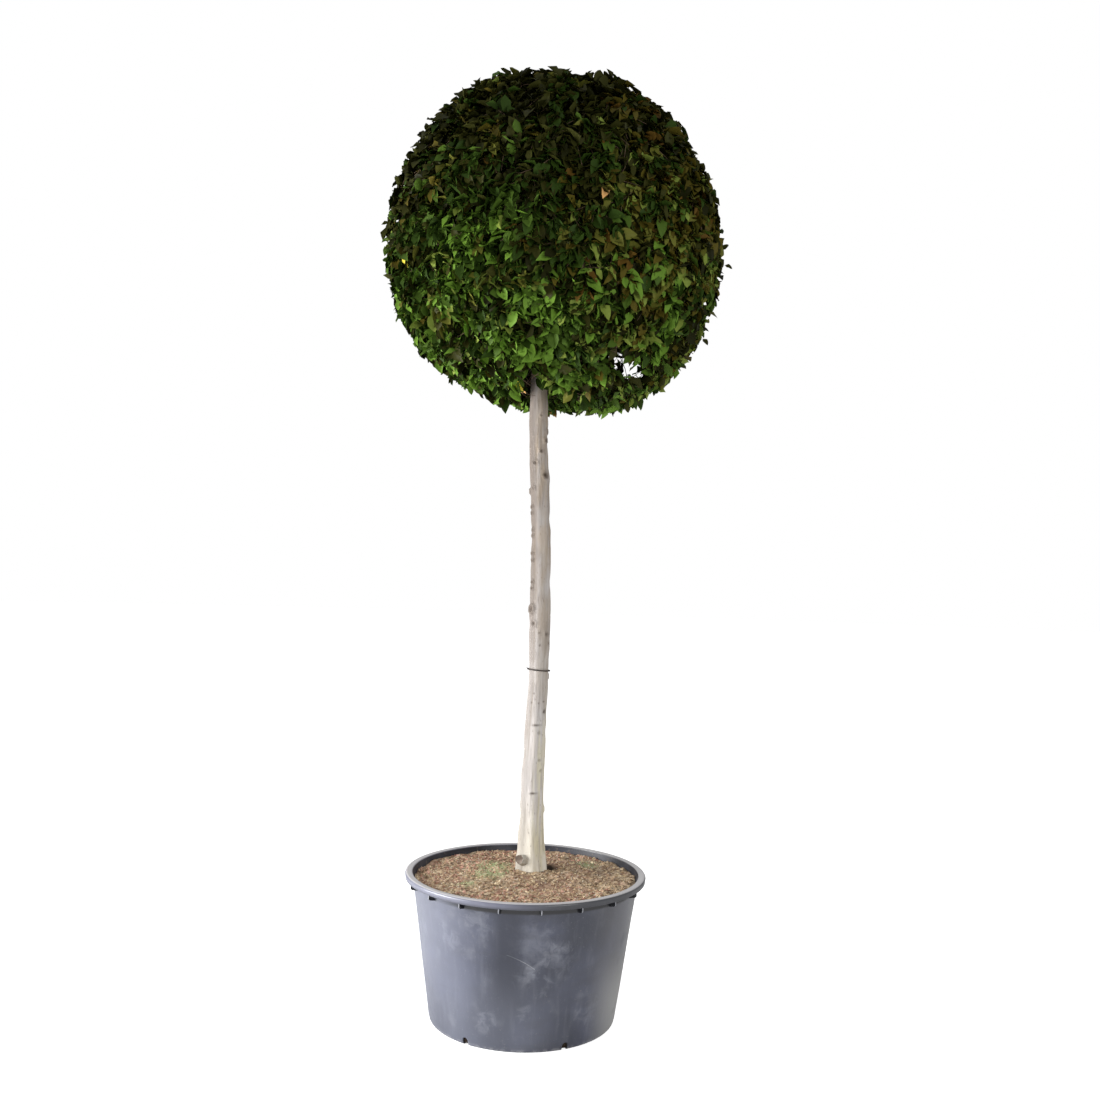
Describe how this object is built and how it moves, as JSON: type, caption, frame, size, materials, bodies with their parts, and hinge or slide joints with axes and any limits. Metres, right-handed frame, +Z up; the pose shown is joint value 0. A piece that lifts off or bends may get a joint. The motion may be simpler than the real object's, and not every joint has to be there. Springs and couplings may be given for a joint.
{
  "type": "potted ball standard tree",
  "caption": "Tree with a clipped ball of leaves on a tall clear stem, growing in a round nursery pot with a webbed lip.",
  "frame": {"origin": "centre of the pot's flat underside, on the ground", "axes": "+Z up along the stem, -Y towards the front, +X to the right as seen from the front"},
  "size_m": [1.2271, 1.213, 3.3454],
  "materials": {
    "pot_plastic": "weathered grey-blue plastic with pale scuffs",
    "potting_mix": "loose brown bark compost with moss",
    "bark": "pale grey-brown bark, fluted and knotted",
    "tie_wire": "dark coated wire",
    "leaves": "satin dark green leaves"
  },
  "bodies": {
    "root": {"pot": "pot_plastic", "potting_mix": "potting_mix", "trunk": "bark", "trunk_tie": "tie_wire", "bough_front": "bark", "bough_right": "bark", "bough_back_right": "bark", "bough_back_left": "bark", "bough_left": "bark", "bough_top": "bark", "foliage_front": "leaves", "foliage_right": "leaves", "foliage_back_right": "leaves", "foliage_back_left": "leaves", "foliage_left": "leaves", "foliage_top": "leaves"}
  },
  "joints": []
}
